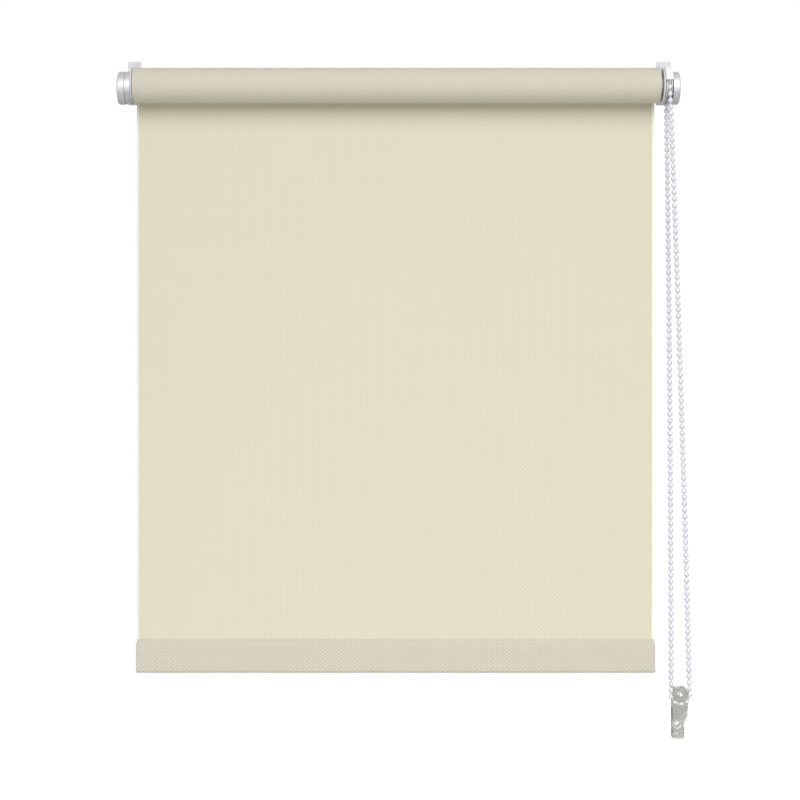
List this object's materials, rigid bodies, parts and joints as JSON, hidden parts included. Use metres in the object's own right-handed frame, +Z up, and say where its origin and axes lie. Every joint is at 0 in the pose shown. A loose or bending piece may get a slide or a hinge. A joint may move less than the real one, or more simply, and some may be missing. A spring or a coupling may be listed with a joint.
{
  "type": "roller blind",
  "caption": "Roller blind: woven cloth wound on a tube between wall brackets, with a bead chain drive at the right end, a weighted hem and a clear chain tensioner.",
  "frame": {"origin": "the point of the wall midway between the brackets, at the height of the tube's axis", "axes": "+X along the tube towards the chain side, +Y into the wall, +Z up"},
  "size_m": [0.5308, 0.0441, 0.6326],
  "materials": {
    "bracket_enamel": "light grey powder coat on pressed steel",
    "cover_plastic": "satin light grey moulded plastic",
    "guard_plastic": "satin white moulded plastic",
    "blind_cloth": "cream woven blind cloth with a fine pin-dot weave",
    "tube_aluminium": "mill-finish extrusion",
    "bright_steel": "turned bright steel",
    "spring_steel": "drawn spring wire",
    "grey_nylon": "moulded grey nylon",
    "chain_white": "glossy white moulded plastic",
    "clear_plastic": "clear moulded polycarbonate",
    "pulley_plastic": "translucent white moulded plastic"
  },
  "bodies": {
    "root": {"bracket_left": "bracket_enamel", "bracket_right": "bracket_enamel", "housing_left": "cover_plastic", "cover_left": "cover_plastic", "cover_right": "cover_plastic", "chain_guard": "guard_plastic", "clutch_spindle": "grey_nylon", "hub_clip": "spring_steel", "bead_chain": "chain_white", "fabric_sheet": "blind_cloth", "tensioner_back": "clear_plastic", "tensioner_front": "clear_plastic", "tensioner_axle": "bright_steel"},
    "roller": {"roller_tube": "tube_aluminium", "fabric_spline": "grey_nylon", "fabric_roll": "blind_cloth", "drive_hub": "grey_nylon", "wrap_spring": "spring_steel", "idle_plug": "grey_nylon", "idle_spring": "spring_steel", "spring_stop": "grey_nylon"},
    "sprocket": {"chain_sprocket": "chain_white"},
    "hem": {"fabric_hem": "blind_cloth", "bottom_bar": "tube_aluminium", "bar_cap_left": "cover_plastic", "bar_cap_right": "cover_plastic"},
    "pulley": {"tensioner_pulley": "pulley_plastic"},
    "idle_pin": {"idle_pin": "bright_steel"}
  },
  "joints": [
    {"name": "tube_spin", "type": "hinge", "parent": "root", "child": "roller", "pos_m": [0, -0.027, 0], "axis": [1, 0, 0], "range_deg": [-2070, 1680]},
    {"name": "lift", "type": "slide", "parent": "root", "child": "hem", "axis": [0, 0, 1], "range_m": [-0.6, 0.487], "deforming": ["fabric_sheet"]},
    {"name": "sprocket_spin", "type": "hinge", "parent": "root", "child": "sprocket", "pos_m": [0.2484, -0.027, 0], "axis": [1, 0, 0], "range_deg": [-2071, 1681]},
    {"name": "pulley_spin", "type": "hinge", "parent": "root", "child": "pulley", "pos_m": [0.263, -0.0065, -0.5648], "axis": [0, 1, 0], "range_deg": [-2761, 2241]},
    {"name": "idle_pin_slide", "type": "slide", "parent": "roller", "child": "idle_pin", "axis": [1, 0, 0], "range_m": [0, 0.005], "stiffness_N_per_m": 300, "springref_m": -0.004, "deforming": ["idle_spring"]}
  ],
  "couplings": [
    {"joint": "lift", "follows": "tube_spin", "m_per_rad": 0.0166},
    {"joint": "sprocket_spin", "follows": "tube_spin", "ratio": 1},
    {"joint": "pulley_spin", "follows": "tube_spin", "ratio": 1.3333}
  ]
}
